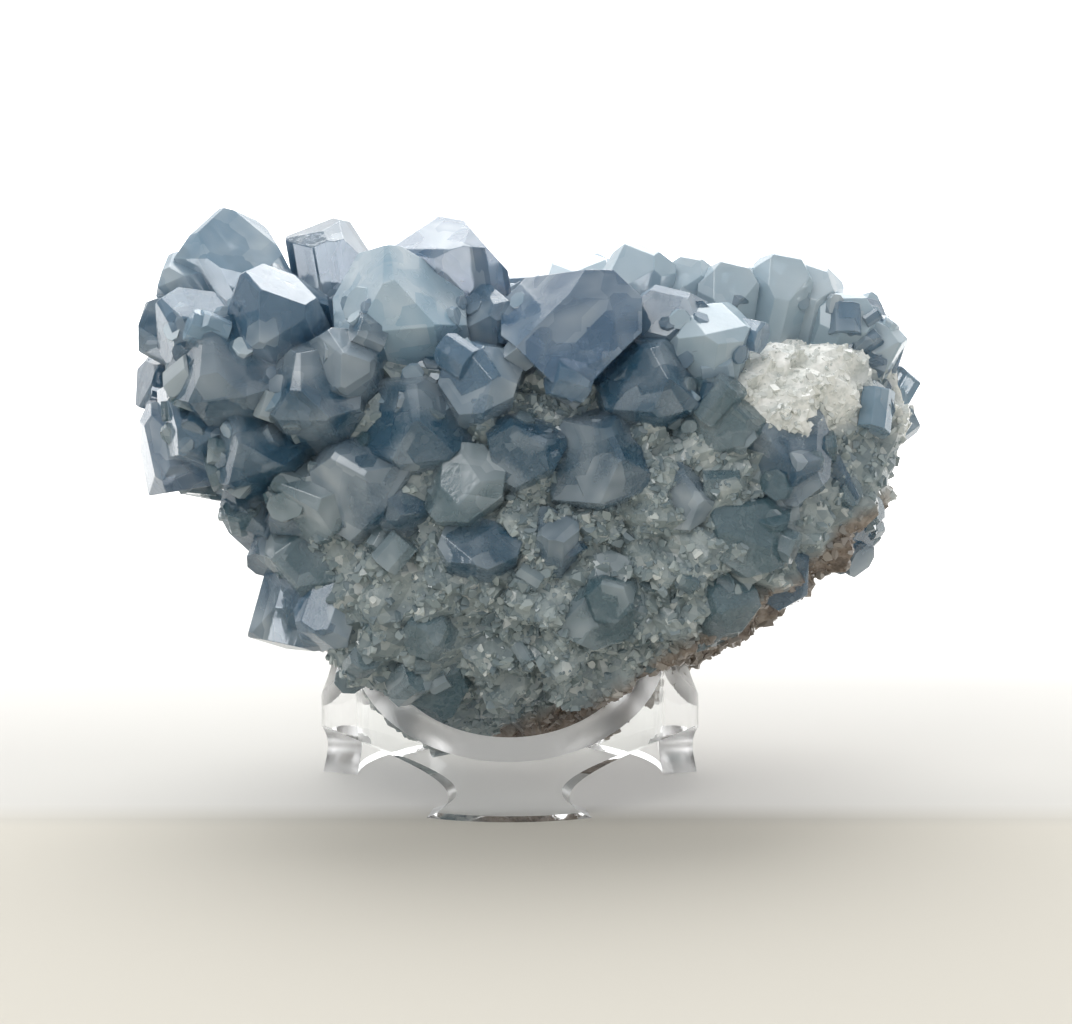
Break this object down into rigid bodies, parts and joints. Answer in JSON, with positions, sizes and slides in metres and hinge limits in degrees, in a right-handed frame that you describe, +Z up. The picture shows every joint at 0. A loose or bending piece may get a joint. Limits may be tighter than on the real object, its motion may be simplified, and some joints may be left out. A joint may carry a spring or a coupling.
{
  "type": "celestite crystal cluster on stand",
  "caption": "Geode fragment of pale blue blocky celestite crystals on a sugary grey-green base, resting on a clear three-pronged acrylic ring stand.",
  "frame": {"origin": "on the surface it stands on, under the middle of the whole object", "axes": "+Z up, -Y the broken front of the specimen, +X to the viewer's right"},
  "size_m": [0.1046, 0.0616, 0.0773],
  "materials": {
    "celestite": "vitreous crystal faces over sugary massive mineral",
    "acrylic": "clear polished walls with frosted sawn and sanded cuts"
  },
  "bodies": {
    "root": {"celestite_cluster": "celestite", "display_stand": "acrylic"}
  },
  "joints": []
}
